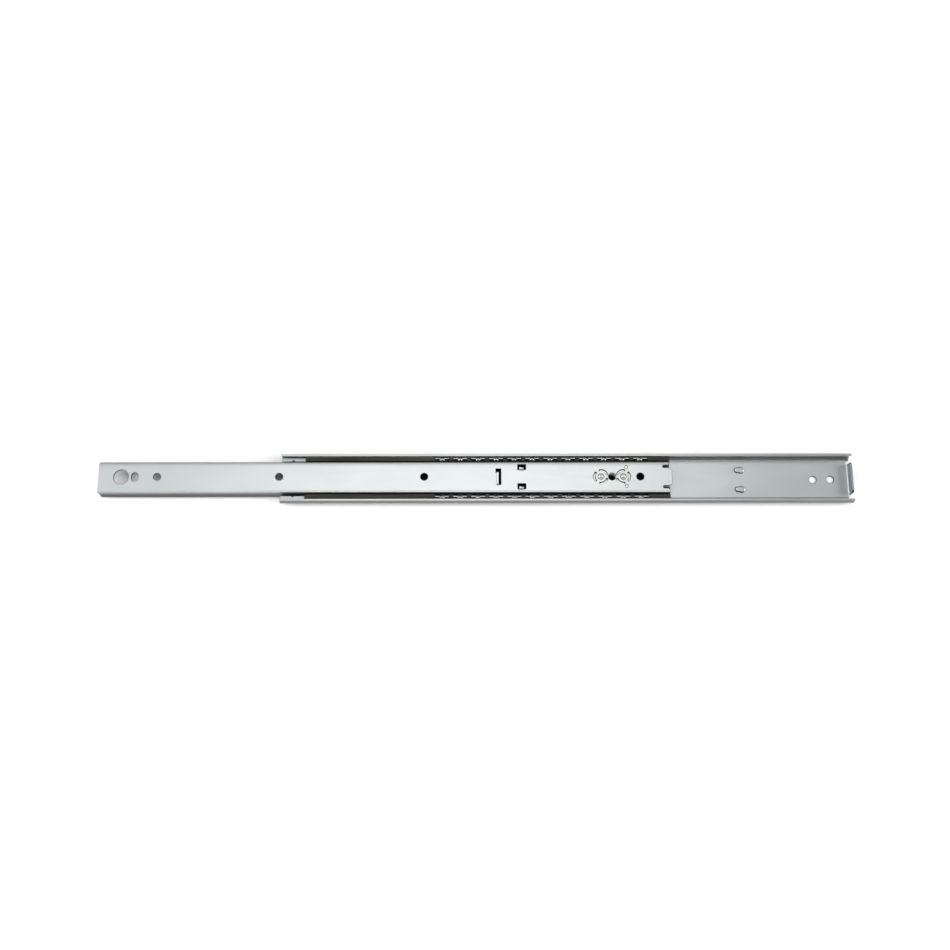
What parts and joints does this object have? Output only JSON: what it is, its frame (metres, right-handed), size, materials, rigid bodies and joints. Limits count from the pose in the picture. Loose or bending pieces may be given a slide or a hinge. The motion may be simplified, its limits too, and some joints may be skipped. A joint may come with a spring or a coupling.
{
  "type": "cabinet drawer slide",
  "caption": "Two-member ball-bearing drawer slide in zinc-plated steel, drawn fully open, with a caged ball retainer between a wide cabinet channel and a narrow drawer channel.",
  "frame": {"origin": "centre of the cabinet member's back face, the face that screws to the cabinet side", "axes": "+X along the slide towards the cabinet's rear, +Y across the slide, +Z out of the cabinet member's web towards the drawer"},
  "size_m": [0.4691, 0.0316, 0.0122],
  "materials": {
    "cabinet_zinc": "zinc-plated cold-rolled steel, satin, slightly blue",
    "drawer_zinc": "zinc-plated cold-rolled steel, satin",
    "stop_zinc": "zinc-plated pressed steel, dull",
    "rivet_steel": "bright rivet steel",
    "nylon": "natural moulded nylon",
    "retainer_black": "black oxide, oiled",
    "ball_steel": "polished bearing steel"
  },
  "bodies": {
    "cabinet": {"cabinet_member": "cabinet_zinc", "front_stop": "stop_zinc", "stop_rivet_upper": "rivet_steel", "stop_rivet_lower": "rivet_steel"},
    "drawer": {"drawer_member": "drawer_zinc", "guide_block": "nylon", "guide_pin_front": "rivet_steel", "guide_pin_rear": "rivet_steel"},
    "retainer": {"ball_retainer": "retainer_black", "ball_upper_01": "ball_steel", "ball_upper_02": "ball_steel", "ball_upper_03": "ball_steel", "ball_upper_04": "ball_steel", "ball_upper_05": "ball_steel", "ball_upper_06": "ball_steel", "ball_upper_07": "ball_steel", "ball_upper_08": "ball_steel", "ball_upper_09": "ball_steel", "ball_upper_10": "ball_steel", "ball_upper_11": "ball_steel", "ball_upper_12": "ball_steel", "ball_lower_01": "ball_steel", "ball_lower_02": "ball_steel", "ball_lower_03": "ball_steel", "ball_lower_04": "ball_steel", "ball_lower_05": "ball_steel", "ball_lower_06": "ball_steel", "ball_lower_07": "ball_steel", "ball_lower_08": "ball_steel", "ball_lower_09": "ball_steel", "ball_lower_10": "ball_steel", "ball_lower_11": "ball_steel", "ball_lower_12": "ball_steel"}
  },
  "joints": [
    {"name": "drawer_slide", "type": "slide", "parent": "cabinet", "child": "drawer", "axis": [1, 0, 0], "range_m": [0, 0.1113]},
    {"name": "retainer_slide", "type": "slide", "parent": "cabinet", "child": "retainer", "axis": [1, 0, 0], "range_m": [0, 0.05565]}
  ],
  "couplings": [
    {"joint": "retainer_slide", "follows": "drawer_slide", "ratio": 0.5}
  ]
}
